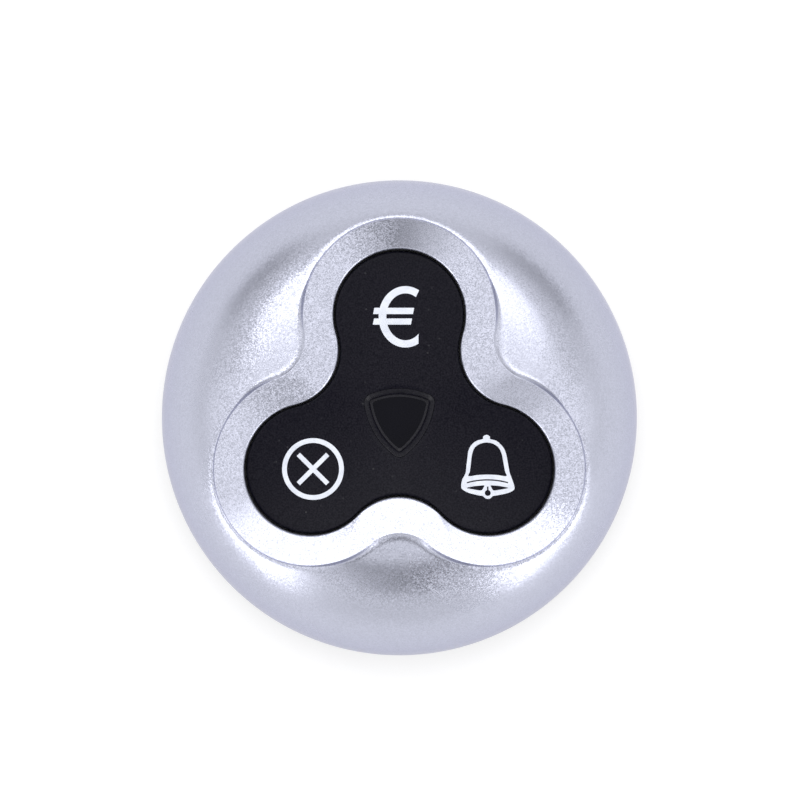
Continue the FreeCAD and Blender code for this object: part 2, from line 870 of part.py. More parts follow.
parts = {
    "top_shell": top_shell(),
    "keypad_web": keypad_web(),
    "bill_key": key(bill_angle),
    "cancel_key": key(cancel_angle),
    "call_key": key(call_angle),
    "keypad_frame": keypad_frame(),
    "status_lens": status_lens(),
    "circuit_board": circuit_board(),
    "status_led": status_led(),
    "switch_bodies": switch_bodies(),
    "switch_covers": switch_covers(),
    "switch_legs": switch_legs(),
    "bill_stem": stem(bill_angle),
    "cancel_stem": stem(cancel_angle),
    "call_stem": stem(call_angle),
    "encoder_chip": encoder_chip(),
    "chip_leads": chip_leads(),
    "saw_resonator": saw_resonator(),
    "rf_transistor": rf_transistor(),
    "chip_resistors": small_parts(resistor_shares, resistor_height),
    "chip_capacitors": small_parts(capacitor_shares, capacitor_height),
    "antenna_coil": antenna_coil(),
    "battery": battery(),
    "battery_cap": battery_cap(),
    "battery_spring": battery_spring(),
    "battery_contacts": battery_contacts(),
    "chassis": chassis(),
    "chassis_screws": chassis_screws(),
    "base_cover": base_cover(),
    "seal_ring": seal_ring(),
    "adhesive_pad": adhesive_pad(),
}

os.makedirs("parts", exist_ok=True)
for name, shape in parts.items():
    shape.exportStep(f"parts/{name}.step")
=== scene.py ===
import json
import math

import bpy
import numpy as np
from mathutils import Matrix, Vector
from mathutils.geometry import delaunay_2d_cdt


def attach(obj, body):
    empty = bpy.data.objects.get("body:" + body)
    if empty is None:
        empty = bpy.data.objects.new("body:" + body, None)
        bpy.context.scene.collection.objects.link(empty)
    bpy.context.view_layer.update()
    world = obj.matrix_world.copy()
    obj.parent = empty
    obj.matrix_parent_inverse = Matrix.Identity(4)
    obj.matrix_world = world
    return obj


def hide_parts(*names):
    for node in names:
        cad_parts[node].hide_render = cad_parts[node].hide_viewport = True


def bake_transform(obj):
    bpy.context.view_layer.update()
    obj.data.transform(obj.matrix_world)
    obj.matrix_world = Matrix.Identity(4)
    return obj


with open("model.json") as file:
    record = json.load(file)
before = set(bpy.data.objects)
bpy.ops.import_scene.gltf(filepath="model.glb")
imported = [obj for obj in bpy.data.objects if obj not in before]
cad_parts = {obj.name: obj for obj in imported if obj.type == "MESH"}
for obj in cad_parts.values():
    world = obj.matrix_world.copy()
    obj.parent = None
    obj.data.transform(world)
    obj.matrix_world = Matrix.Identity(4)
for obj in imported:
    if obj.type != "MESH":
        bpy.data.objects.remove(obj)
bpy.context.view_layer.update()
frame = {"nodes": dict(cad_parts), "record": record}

MM = 0.001
SIXTH = math.pi / 3
KEY_ANGLES = {"bill": math.radians(90), "cancel": math.radians(210), "call": math.radians(330)}

# Outlines as lobe radius and waist radius, in millimetres like every length up to the meshes
LOBE_CENTRE = 12.879
OPENING = (8.26, 7.079)
CREST = (12.05, 5.4)
PAD_EDGE = (8.05, 7.289)
FLANGE_EDGE = (10.4, 4.939)

# Levels
CREST_Z = 22.0
LIP_Z = 20.6
CEILING_Z = 18.4
PAD_FLOOR_Z = 19.4
PAD_UNDERSIDE_Z = 18.5
WINDOW_FLOOR_Z = 18.6
FLANGE_LOW_Z = 17.6
FLANGE_HIGH_Z = 18.3
FOOT_TOP_Z = 4.0

# Silver shell. Profiles are radius and height, and crest steps are distances out from the crest's edge
SHELL_R = 30.0
INSIDE_R = 28.0
FLAT_CEILING_R = 21.6
DOME_SLOPES = ((9.0, 4), (15.0, 5), (17.6, 7), (18.8, 12), (20.0, 17), (21.1, 21.5), (22.6, 31), (24.1, 38),
               (25.6, 45), (27.1, 54), (28.6, 65), (29.4, 75))
WALL_LEAD = 0.4
WALL_BULGE_Z = 7.0
FOOT_EDGE = ((29.99, 3.7), (29.9, 3.45), (29.72, 3.32), (29.4, 3.3), (28.4, 3.3), (28.05, 3.4), (28.0, 4.0))
LIP_R = 0.5
LIP_TURNS = np.radians([0, 10, 20, 30, 40, 50, 60, 70])
LIP_WALL_LEVELS = (CEILING_Z, 19.2, 20.0)
FUNNEL_LIP_GAP = 0.04
FUNNEL_CREST_GAP = 0.9
CREST_STEPS = (-0.7, -0.5, -0.35, -0.25, -0.18, -0.13, -0.09, -0.06, -0.03, -0.01, 0.01, 0.03, 0.05, 0.07,
               0.09, 0.11, 0.13, 0.15, 0.18, 0.22, 0.28, 0.36, 0.46, 0.6, 0.78, 1.0, 1.25, 1.55)
LAST_SPAN_R = 27.0
LAST_SPAN_GAP = 0.05

# Outer side of the crest, low at the waists and high over the lobes
STEP_AT_WAIST = 0.36
CRISP_STEP = 1.2
SOFT_SIDE_WIDTH = 0.46
CRISP_SIDE_GAIN = 0.30
SIDE_FOOT_BLEND = 0.30
SOFT_EDGE_BLEND = 0.06
CRISP_EDGE_GAIN = 0.06
SHOULDER_WIDTH = 0.9
SHOULDER_SLOPE = 0.09
SLOPE_PROBE = 0.1

# Rubber pad with its three troughs
TROUGH_RADIUS = 37.0
RIDGE_BLEND = 0.3
PAD_RIM_R = 0.35
PAD_INNER_STEP = 0.1
PAD_RIM_TURNS = np.radians([15, 30, 45, 60, 75, 90])
POST_R = 11.5
POST_PROFILE = ((0, 18.52), (1.0, 18.52), (1.0, 17.85), (0.9, 17.75), (0, 17.75))
SEAM_ANGLE = 1e-6

# Sunken window: the arc of each bulged side, the corners, and rows as inset and height
WINDOW_BEND_R = 9.85
WINDOW_BEND_BEHIND = 6.2
WINDOW_CORNER_R = 1.1
WINDOW_LEAST_CORNER_R = 0.4
WINDOW_TOP_GAP = 0.02
WINDOW_SLOPE = ((0.03, 0.02), (0.08, 0.06), (0.15, 0.11), (0.35, 0.265), (0.55, 0.42), (0.60, 0.48),
                (0.64, 0.56))
WINDOW_LEDGE = ((0.70, 0.10), (0.74, 0.06), (1.02, 0.05), (1.04, 0.02), (1.04, -0.03), (0.85, -0.05))

# Printed signs
INK_PROUD = 0.03
INK_SUNK = 0.06
INK_EDGE_SPACING = 0.12
INK_FILL_SPACING = 0.35
INK_FILL_MARGIN = 0.3
SAME_PLACE = 1e-5

# Framing, in pixels of the photograph, and in metres
PICTURE_SIDE = 800
CENTRE_ASIDE = 0.6
CENTRE_BELOW = 17.8
CAMERA_HEIGHT = 2.0


# Plan outlines
def fold(phi):
    """Angle from the nearest lobe's axis."""
    return np.abs((phi - math.pi / 2 + SIXTH) % (2 * SIXTH) - SIXTH)


def waist_centre(outline):
    """Distance of a waist arc's centre from the middle."""
    lobe_r, waist_r = outline
    across = LOBE_CENTRE * math.sin(SIXTH)
    return LOBE_CENTRE * math.cos(SIXTH) + math.sqrt((lobe_r + waist_r) ** 2 - across**2)


def outline_r(phi, outline):
    """Radius of a three-lobed outline: lobe arcs joined by waist arcs."""
    lobe_r, waist_r = outline
    turn = fold(phi)
    far = waist_centre(outline)
    share = lobe_r / (lobe_r + waist_r)
    touch_x = LOBE_CENTRE + (far * math.cos(SIXTH) - LOBE_CENTRE) * share
    touch = math.atan2(far * math.sin(SIXTH) * share, touch_x)
    lobe_root = np.maximum(lobe_r**2 - (LOBE_CENTRE * np.sin(turn)) ** 2, 0)
    waist_root = np.maximum(waist_r**2 - (far * np.sin(SIXTH - turn)) ** 2, 0)
    lobe = LOBE_CENTRE * np.cos(turn) + np.sqrt(lobe_root)
    waist = far * np.cos(SIXTH - turn) - np.sqrt(waist_root)
    return np.where(turn <= touch, lobe, waist)


def outside(r, phi, outline):
    """Distance outwards from an outline, negative within it."""
    lobe_r, waist_r = outline
    turn = fold(phi)
    x, y = r * np.cos(turn), r * np.sin(turn)
    far = waist_centre(outline)
    far_x, far_y = far * math.cos(SIXTH), far * math.sin(SIXTH)
    from_lobe = np.hypot(x - LOBE_CENTRE, y) - lobe_r
    from_waist = waist_r - np.hypot(x - far_x, y - far_y)
    at_waist = (x - LOBE_CENTRE) * far_y < y * (far_x - LOBE_CENTRE)
    at_waist &= r * np.cos(SIXTH - turn) < far
    return np.where(at_waist, from_waist, from_lobe)


def window_r(phi, inset):
    """Radius of the window's bulged triangle, its rounded corners between the lobes."""
    bend = WINDOW_BEND_R - inset
    corner = max(WINDOW_CORNER_R - inset, WINDOW_LEAST_CORNER_R)
    across = WINDOW_BEND_BEHIND * math.sin(SIXTH)
    ahead = math.sqrt((bend - corner) ** 2 - across**2)
    reach = ahead - WINDOW_BEND_BEHIND * math.cos(SIXTH)
    share = corner / (bend - corner)
    touch = math.atan2(across * share, reach + ahead * share)
    turn = fold(phi)
    bulged = np.sqrt(bend**2 - (WINDOW_BEND_BEHIND * np.sin(turn)) ** 2) - WINDOW_BEND_BEHIND * np.cos(turn)
    root = np.maximum(corner**2 - (reach * np.sin(SIXTH - turn)) ** 2, 0)
    round_end = reach * np.cos(SIXTH - turn) + np.sqrt(root)
    return np.where(SIXTH - turn < touch, round_end, bulged)


# Heights
def soft_min(a, b, width):
    """The lesser value, rounded off where the two come within a width of each other."""
    overlap = np.maximum(width - np.abs(a - b), 0) / width
    return np.minimum(a, b) - overlap**2 * width / 4


def soft_max(a, b, width):
    return -soft_min(-a, -b, width)


def ease(value):
    share = np.clip(value, 0, 1)
    return share * share * (3 - 2 * share)


def between(first, last, count):
    """Even steps from first to last, which may be arrays."""
    return [first + (last - first) * share for share in np.linspace(0, 1, count)]


def dome_profile():
    """The dome and the wall under it, as radii and heights, from the dome's slope in degrees."""
    slope_at, degrees = np.array(DOME_SLOPES).T
    radii = np.linspace(slope_at[0], slope_at[-1], 240)
    slopes = np.tan(np.radians(np.interp(radii, slope_at, degrees)))
    drop = np.concatenate([[0], np.cumsum((slopes[1:] + slopes[:-1]) / 2 * np.diff(radii))])
    waist_crest_r = waist_centre(CREST) - CREST[1]
    heights = CREST_Z - STEP_AT_WAIST - drop + np.interp(waist_crest_r, radii, drop)
    start = (radii[-1], heights[-1])
    second = (start[0] + WALL_LEAD, start[1] - WALL_LEAD * slopes[-1])
    third, end = (SHELL_R, WALL_BULGE_Z), (SHELL_R, FOOT_TOP_Z)
    t = np.linspace(0, 1, 30)[1:]
    wall = [(1 - t) ** 3 * a + 3 * (1 - t) ** 2 * t * b + 3 * (1 - t) * t**2 * c + t**3 * d
            for a, b, c, d in zip(start, second, third, end)]
    return np.concatenate([radii, wall[0]]), np.concatenate([heights, wall[1]])


profile_r, profile_z = dome_profile()


def dome_z(r):
    return np.interp(r, profile_r, profile_z)


def shoulder_dip(r, phi):
    """Flattens the dome for a short way around the crest, and rounds it over from there."""
    crest = outline_r(phi, CREST)
    slope = (dome_z(crest - SLOPE_PROBE) - dome_z(crest + SLOPE_PROBE)) / (2 * SLOPE_PROBE)
    depth = np.maximum(slope - SHOULDER_SLOPE, 0) * SHOULDER_WIDTH / 2
    return depth * np.clip(1 - outside(r, phi, CREST) / SHOULDER_WIDTH, 0, 1) ** 2


def shell_height(r, phi):
    """Top of the silver shell: funnel, crest, dome and the step between them, which is soft at the waists."""
    opening = outline_r(phi, OPENING)
    crest = outline_r(phi, CREST)
    funnel = LIP_Z + (CREST_Z - LIP_Z) * (r - opening) / (crest - opening)
    dome = dome_z(r) - shoulder_dip(r, phi)
    step = CREST_Z - dome_z(crest)
    crisp = ease((step - STEP_AT_WAIST) / CRISP_STEP)
    side_width = SOFT_SIDE_WIDTH - CRISP_SIDE_GAIN * crisp
    side = CREST_Z - outside(r, phi, CREST) * step / side_width
    outer = soft_max(dome, side, SIDE_FOOT_BLEND)
    return soft_min(funnel, outer, SOFT_EDGE_BLEND + CRISP_EDGE_GAIN * crisp)


def pad_height(r, phi):
    """Top of the rubber pad: three troughs that meet in soft ridges."""
    turn = fold(phi)
    own = (r * np.sin(turn)) ** 2 / (2 * TROUGH_RADIUS)
    next_one = (r * np.sin(2 * SIXTH - turn)) ** 2 / (2 * TROUGH_RADIUS)
    return PAD_FLOOR_Z + soft_min(own, next_one, RIDGE_BLEND)


# Meshes
def make_piece(name, points, faces, sharp=40):
    """A piece from points in millimetres. Edges that turn by more than sharp degrees stay sharp."""
    mesh = bpy.data.meshes.new(name)
    mesh.from_pydata([tuple(p) for p in np.asarray(points) * MM], [], faces)
    mesh.validate()
    mesh.shade_smooth()
    mesh.set_sharp_from_angle(angle=math.radians(sharp))
    piece = bpy.data.objects.new(name, mesh)
    bpy.context.collection.objects.link(piece)
    return piece


def polar(r, phi, z):
    return np.stack([r * np.cos(phi), r * np.sin(phi), z * np.ones_like(r)], axis=-1)


def whole_turn(count):
    return np.arange(count) * 2 * math.pi / count


def ring_faces(rows, columns, first=0):
    """Quads over rows that close on themselves both ways."""
    faces = []
    for i in range(rows):
        for j in range(columns):
            a, b = i * columns + j, i * columns + (j + 1) % columns
            c, d = (i + 1) % rows * columns + (j + 1) % columns, (i + 1) % rows * columns + j
            faces.append((first + a, first + b, first + c, first + d))
    return faces


def turned_solid(profile, centre, first, segments=24):
    """A solid of revolution, from its axis round and back to it. Its points are counted from first."""
    phi = whole_turn(segments)
    points = [(centre[0], centre[1], profile[0][1])]
    for r, z in profile[1:-1]:
        points += [(centre[0] + r * math.cos(a), centre[1] + r * math.sin(a), z) for a in phi]
    points.append((centre[0], centre[1], profile[-1][1]))
    faces = []
    rows = len(profile) - 2
    last = 1 + (rows - 1) * segments
    for j in range(segments):
        k = (j + 1) % segments
        faces.append((first, first + 1 + k, first + 1 + j))
        for i in range(rows - 1):
            a, b = 1 + i * segments + j, 1 + i * segments + k
            faces.append((first + a, first + b, first + b + segments, first + a + segments))
        faces.append((first + last + j, first + last + k, first + last + segments))
    return points, faces


def silver_shell():
    """The shell from its ceiling over the lip, funnel, crest and dome to its foot, and back inside."""
    columns = 720
    phi = whole_turn(columns)
    opening = outline_r(phi, OPENING)
    crest = outline_r(phi, CREST)
    lip_end = LIP_R * (1 - math.cos(LIP_TURNS[-1]))
    lip_top = shell_height(opening + lip_end, phi)
    rows = [polar(opening, phi, z) for z in LIP_WALL_LEVELS]
    for turn in LIP_TURNS:
        r = opening + LIP_R * (1 - math.cos(turn))
        rows.append(polar(r, phi, lip_top - LIP_R * (math.sin(LIP_TURNS[-1]) - math.sin(turn))))
    spans = between(opening + lip_end + FUNNEL_LIP_GAP, crest - FUNNEL_CREST_GAP, 12)
    spans += [crest + step for step in CREST_STEPS]
    spans += between(crest + CREST_STEPS[-1], LAST_SPAN_R, 30)[1:]
    rows += [polar(r, phi, shell_height(r, phi)) for r in spans]
    outer = profile_r > LAST_SPAN_R + LAST_SPAN_GAP
    rest = list(zip(profile_r[outer], profile_z[outer]))[::2] + list(FOOT_EDGE)
    for turn in np.linspace(0, math.pi / 2, 12)[1:]:
        rest.append((FLAT_CEILING_R + (INSIDE_R - FLAT_CEILING_R) * math.cos(turn),
                     FOOT_TOP_Z + (CEILING_Z - FOOT_TOP_Z) * math.sin(turn)))
    rows += [polar(np.full(columns, r), phi, z) for r, z in rest]
    shell = make_piece("silver_shell", np.concatenate(rows), ring_faces(len(rows), columns))
    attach(shell, "unit")
    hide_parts("top_shell")
    return shell


def key_lobe(key):
    """One third of the pad's skin, with a post under it."""
    axis = KEY_ANGLES[key]
    columns = 121
    phi = axis + np.linspace(-SIXTH, SIXTH, columns)
    turned = np.clip(phi, axis - SIXTH + SEAM_ANGLE, axis + SIXTH - SEAM_ANGLE)
    inner = window_r(turned, 0)
    edge = outline_r(turned, PAD_EDGE)
    cross = [(inner, PAD_UNDERSIDE_Z), (inner, pad_height(inner, turned) - PAD_INNER_STEP)]
    for r in between(inner + PAD_INNER_STEP, edge - PAD_RIM_R, 30):
        cross.append((r, pad_height(r, turned)))
    for turn in PAD_RIM_TURNS:
        r = edge - PAD_RIM_R + PAD_RIM_R * math.sin(turn)
        cross.append((r, pad_height(r, turned) - PAD_RIM_R * (1 - math.cos(turn))))
    cross.append((edge, PAD_UNDERSIDE_Z))
    cross.append(((edge + inner) / 2, PAD_UNDERSIDE_Z))
    rows = len(cross)
    points = np.stack([polar(r, phi, z) for r, z in cross], axis=1).reshape(-1, 3)
    faces = []
    for j in range(columns - 1):
        for i in range(rows):
            k = (i + 1) % rows
            faces.append((j * rows + i, j * rows + k, (j + 1) * rows + k, (j + 1) * rows + i))
    faces.append(tuple(range(rows))[::-1])
    faces.append(tuple((columns - 1) * rows + i for i in range(rows)))
    faces = [face[::-1] for face in faces]
    post_at = (POST_R * math.cos(axis), POST_R * math.sin(axis))
    post_points, post_faces = turned_solid(POST_PROFILE, post_at, len(points))
    lobe = make_piece(key + "_lobe", np.concatenate([points, post_points]), faces + post_faces, sharp=50)
    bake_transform(lobe)
    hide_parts(key + "_key")
    return lobe


def window_frame():
    """Sloping edge of the sunken window, with the flange that the shell traps."""
    columns = 240
    phi = whole_turn(columns)
    outer = window_r(phi, 0)
    top = pad_height(outer, phi)
    rows = [polar(outer, phi, FLANGE_LOW_Z), polar(outer, phi, top - WINDOW_TOP_GAP)]
    rows += [polar(window_r(phi, inset), phi, top - drop) for inset, drop in WINDOW_SLOPE]
    rows += [polar(window_r(phi, inset), phi, WINDOW_FLOOR_Z + z) for inset, z in WINDOW_LEDGE]
    rows.append(polar(window_r(phi, WINDOW_LEDGE[-1][0]), phi, FLANGE_LOW_Z))
    faces = ring_faces(len(rows), columns)
    opening = outline_r(phi, OPENING)
    flange = outline_r(phi, FLANGE_EDGE)
    ring = [polar(opening, phi, FLANGE_LOW_Z), polar(opening, phi, FLANGE_HIGH_Z),
            polar(flange, phi, FLANGE_HIGH_Z), polar(flange, phi, FLANGE_LOW_Z)]
    faces += ring_faces(len(ring), columns, first=len(rows) * columns)
    piece = make_piece("window_frame", np.concatenate(rows + ring), faces)
    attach(piece, "unit")
    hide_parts("keypad_web")
    return piece


# Signs, printed on the keys
def arc(centre, radii, start, end, steps=48):
    turn = np.radians(np.linspace(start, end, steps))
    return [(centre[0] + radii[0] * math.cos(t), centre[1] + radii[1] * math.sin(t)) for t in turn]


def smooth_loop(points, steps=8):
    """Rounded closed line through points."""
    loop = []
    count = len(points)
    for i in range(count):
        a, b, c, d = (np.array(points[(i + k) % count]) for k in (-1, 0, 1, 2))
        for t in np.arange(steps) / steps:
            loop.append(tuple(0.5 * (2 * b + (c - a) * t + (2 * a - 5 * b + 4 * c - d) * t**2
                                     + (3 * b - a - 3 * c + d) * t**3)))
    return loop


def along(points):
    """Adds points on the straight runs of a closed line."""
    loop = []
    for a, b in zip(points, points[1:] + points[:1]):
        count = max(1, round(math.dist(a, b) / INK_EDGE_SPACING))
        for k in range(count):
            loop.append((a[0] + (b[0] - a[0]) * k / count, a[1] + (b[1] - a[1]) * k / count))
    return loop


def leftward(loop):
    """The same loop, run counter-clockwise."""
    area = sum(a[0] * b[1] - b[0] * a[1] for a, b in zip(loop, loop[1:] + loop[:1]))
    return loop if area > 0 else loop[::-1]


def printed_sign(name, key, inked, bare=()):
    """A thin layer of ink that lies in the key's trough. Loops are in millimetres from the middle."""
    loops = [leftward(along(loop)) for loop in list(inked) + list(bare)]
    spots = [Vector(p) for loop in loops for p in loop]
    faces, first = [], 0
    for loop in loops:
        faces.append(list(range(first, first + len(loop))))
        first += len(loop)
    low = np.min([tuple(p) for p in spots], axis=0) + INK_FILL_MARGIN
    high = np.max([tuple(p) for p in spots], axis=0)
    for x in np.arange(low[0], high[0], INK_FILL_SPACING):
        for y in np.arange(low[1], high[1], INK_FILL_SPACING):
            spots.append(Vector((x, y)))
    found = delaunay_2d_cdt(spots, [], faces, 0, SAME_PLACE)
    kept = []
    for face, sources in zip(found[2], found[5]):
        if any(s < len(inked) for s in sources) and not any(s >= len(inked) for s in sources):
            kept.append(tuple(face))
    xy = np.array([tuple(p) for p in found[0]])
    count = len(xy)
    z = pad_height(np.hypot(xy[:, 0], xy[:, 1]), np.arctan2(xy[:, 1], xy[:, 0]))
    top = np.column_stack([xy, z + INK_PROUD])
    under = np.column_stack([xy, z - INK_SUNK])
    border = {}
    for face in kept:
        for a, b in zip(face, face[1:] + face[:1]):
            if border.pop((b, a), None) is None:
                border[(a, b)] = True
    faces = kept + [tuple(v + count for v in face[::-1]) for face in kept]
    faces += [(b, a, a + count, b + count) for a, b in border]
    used = sorted({v for face in faces for v in face})
    place = {v: i for i, v in enumerate(used)}
    points = np.concatenate([top, under])[used]
    sign = make_piece(name, points, [tuple(place[v] for v in face) for face in faces])
    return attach(sign, key + "_key")


def bill_sign():
    """Euro sign: a round letter and two bars with slanted ends."""
    centre = (0.76, 12.66)
    outer = arc(centre, (3.36, 3.85), 59.5, 299.5)
    inner = arc(centre, (2.40, 2.94), 314.0, 57.0)
    lower_tip = [(2.39, 9.17), (2.39, 10.24)]
    slant = 0.15
    bars = []
    for low, high, left, right in ((13.0, 13.79, -3.29, 1.70), (11.68, 12.45, -3.33, 1.44)):
        bars.append([(left, low), (right, low), (right + slant, high), (left + slant, high)])
    return printed_sign("bill_sign", "bill", [outer + lower_tip + inner] + bars)


def cancel_sign():
    """A cross in a ring."""
    centre = (-10.83, -6.42)
    arm, half = 2.6, 0.29
    ring_r, hole_r = 3.87, 3.27
    cross = [(half, half), (arm, half), (arm, -half), (half, -half), (half, -arm), (-half, -arm),
             (-half, -half), (-arm, -half), (-arm, half), (-half, half), (-half, arm), (half, arm)]
    turn = Matrix.Rotation(math.radians(45), 2)
    cross = [tuple(turn @ Vector(p) + Vector(centre)) for p in cross]
    ring = arc(centre, (ring_r, ring_r), 0, 357, 120)
    hole = arc(centre, (hole_r, hole_r), 0, 357, 120)
    sign = printed_sign("cancel_ring", "cancel", [ring], [hole])
    return [sign, printed_sign("cancel_cross", "cancel", [cross])]


def call_sign():
    """Hand bell seen from slightly below."""
    middle = 11.04

    def place(points):
        return [(middle + x, y) for x, y in points]

    body = smooth_loop(place([
        (-0.12, -2.13), (0.30, -2.35), (0.36, -2.66), (1.1, -2.88), (1.72, -3.4), (2.17, -4.05),
        (2.42, -4.9), (2.6, -5.9), (2.8, -6.9), (3.08, -7.68), (3.37, -8.6), (3.26, -9.08), (2.4, -9.47),
        (1.2, -9.72), (0.72, -9.8), (0.35, -10.1), (0.06, -10.16), (-0.25, -10.1), (-0.6, -9.8),
        (-1.1, -9.72), (-2.3, -9.42), (-3.1, -9.0), (-3.3, -8.6), (-3.16, -7.75), (-2.76, -6.95),
        (-2.62, -5.9), (-2.5, -4.9), (-2.38, -4.1), (-2.0, -3.4), (-1.35, -2.88), (-0.6, -2.66),
        (-0.54, -2.35)]))
    hollow = smooth_loop(place([
        (-0.1, -3.1), (0.75, -3.27), (1.4, -3.75), (1.78, -4.5), (1.98, -5.5), (2.2, -6.7), (2.36, -7.3),
        (1.2, -7.17), (0.0, -7.12), (-1.2, -7.17), (-2.36, -7.3), (-2.2, -6.7), (-2.06, -5.5),
        (-1.92, -4.5), (-1.6, -3.75), (-0.95, -3.27)]))
    line_above = arc((0, -17.4), (9.7, 9.7), 105.5, 74.5, 24)
    line_below = arc((0, -17.55), (9.68, 9.68), 74.7, 105.3, 24)
    line = place(line_above + line_below)
    slits = []
    for side in (-1, 1):
        slit = [(side * 2.62, -8.78), (side * 1.7, -8.58), (side * 0.98, -8.5), (side * 0.42, -8.48),
                (side * 0.5, -8.75), (side * 0.78, -9.1), (side * 1.5, -9.02), (side * 2.1, -8.92)]
        slits.append(smooth_loop(place(slit), 4))
    eye = arc((0.04, -9.42), (0.37, 0.37), 105, 435, 28)
    keyhole = place(eye + [(0.13, -8.62), (-0.07, -8.62)])
    return printed_sign("call_bell", "call", [body], [hollow, line, keyhole] + slits)


# Steps in node trees
def math_step(tree, operation, first, second):
    step = tree.nodes.new("ShaderNodeMath")
    step.operation = operation
    tree.links.new(first, step.inputs[0])
    if isinstance(second, float):
        step.inputs[1].default_value = second
    else:
        tree.links.new(second, step.inputs[1])
    return step.outputs["Value"]


def vector_step(tree, operation, first, second=None):
    step = tree.nodes.new("ShaderNodeVectorMath")
    step.operation = operation
    tree.links.new(first, step.inputs[0])
    if isinstance(second, tuple):
        step.inputs[1].default_value = second
    elif second is not None:
        tree.links.new(second, step.inputs["Scale"] if operation == "SCALE" else step.inputs[1])
    return step.outputs["Vector"]


def add_range(tree, value, low, high, to_low=0.0, to_high=1.0):
    """Stretches values from low and high to the new ends, and holds them there."""
    remap = tree.nodes.new("ShaderNodeMapRange")
    for label, number in (("From Min", low), ("From Max", high), ("To Min", to_low), ("To Max", to_high)):
        remap.inputs[label].default_value = number
    tree.links.new(value, remap.inputs["Value"])
    return remap.outputs["Result"]


def add_noise(tree, place, scale, detail, seed):
    shift = tree.nodes.new("ShaderNodeMapping")
    shift.inputs["Location"].default_value = (seed, seed * 0.7, -seed)
    tree.links.new(place, shift.inputs["Vector"])
    noise = tree.nodes.new("ShaderNodeTexNoise")
    noise.inputs["Detail"].default_value = detail
    tree.links.new(shift.outputs["Vector"], noise.inputs["Vector"])
    tree.links.new(scale, noise.inputs["Scale"])
    return noise.outputs["Fac"]


def add_cells(tree, place, scale):
    """Small cells, each with colours of its own: the cells and their split colour."""
    cells = tree.nodes.new("ShaderNodeTexVoronoi")
    tree.links.new(place, cells.inputs["Vector"])
    tree.links.new(scale, cells.inputs["Scale"])
    split = tree.nodes.new("ShaderNodeSeparateColor")
    tree.links.new(cells.outputs["Color"], split.inputs["Color"])
    return cells, split


# Surface effects shared by several materials
def new_effect(name, inputs, outputs):
    group = bpy.data.node_groups.new(name, "ShaderNodeTree")
    for label, value in inputs:
        socket = group.interface.new_socket(label, in_out="INPUT", socket_type="NodeSocketFloat")
        socket.default_value = value
    for label in outputs:
        kind = "NodeSocketVector" if label == "Normal" else "NodeSocketFloat"
        group.interface.new_socket(label, in_out="OUTPUT", socket_type=kind)
    source = group.nodes.new("NodeGroupInput")
    result = group.nodes.new("NodeGroupOutput")
    place = group.nodes.new("ShaderNodeTexCoord").outputs["Object"]
    return group, source, result, place


def grain_effect():
    """Fine moulding grain: its height, a speckle that follows it, and a slow drift of tone."""
    inputs = [("Grain Size", 4000), ("Drift Size", 90)]
    group, source, result, place = new_effect("moulding_grain", inputs, ["Height", "Speckle", "Drift"])
    fine = add_noise(group, place, source.outputs["Grain Size"], 3, 1.3)
    slow = add_noise(group, place, source.outputs["Drift Size"], 2, 4.1)
    group.links.new(fine, result.inputs["Height"])
    group.links.new(add_range(group, fine, 0.38, 0.62), result.inputs["Speckle"])
    group.links.new(add_range(group, slow, 0.3, 0.7), result.inputs["Drift"])
    return group


def flake_and_glint_effect():
    """Metal flake paint: a tone for each flake, spread wider on middling slopes as painted glints, and the
    way each flake tilts.
    """
    inputs = [("Flake Size", 8000), ("Tilt", 0.1)]
    group, source, result, place = new_effect("paint_flakes_and_glints", inputs, ["Tone", "Normal"])
    cells, split = add_cells(group, place, source.outputs["Flake Size"])
    surface = group.nodes.new("ShaderNodeNewGeometry").outputs["Normal"]
    parts = group.nodes.new("ShaderNodeSeparateXYZ")
    group.links.new(surface, parts.inputs["Vector"])
    # Painted glints: each flake's tone spreads more than three times wider on slopes of about 16 to 28
    # degrees than on flat or steep paint.
    tilted_enough = add_range(group, parts.outputs["Z"], 0.990, 0.962)
    not_steep = add_range(group, parts.outputs["Z"], 0.77, 0.88)
    painted_glint_slopes = math_step(group, "MULTIPLY", tilted_enough, not_steep)
    tone_and_glint_strength = add_range(group, painted_glint_slopes, 0.0, 1.0, 0.30, 1.0)
    spread = math_step(group, "MULTIPLY", math_step(group, "SUBTRACT", split.outputs["Red"], 0.5), tone_and_glint_strength)
    group.links.new(math_step(group, "ADD", spread, 0.5), result.inputs["Tone"])
    lean = vector_step(group, "SUBTRACT", cells.outputs["Color"], (0.5, 0.5, 0.5))
    lean = vector_step(group, "SCALE", lean, source.outputs["Tilt"])
    tilted = vector_step(group, "NORMALIZE", vector_step(group, "ADD", lean, surface))
    group.links.new(tilted, result.inputs["Normal"])
    return group


def dust_effect():
    """Sparse pale specks."""
    inputs = [("Speck Spacing", 700), ("Speck Share", 0.12)]
    group, source, result, place = new_effect("dust_specks", inputs, ["Mask"])
    cells, split = add_cells(group, place, source.outputs["Speck Spacing"])
    spot = math_step(group, "LESS_THAN", cells.outputs["Distance"], source.outputs["Speck Share"])
    rare = add_range(group, split.outputs["Green"], 0.8, 1.0)
    group.links.new(math_step(group, "MULTIPLY", spot, rare), result.inputs["Mask"])
    return group


effects = {"grain": grain_effect(), "flakes_and_glints": flake_and_glint_effect(), "dust": dust_effect()}


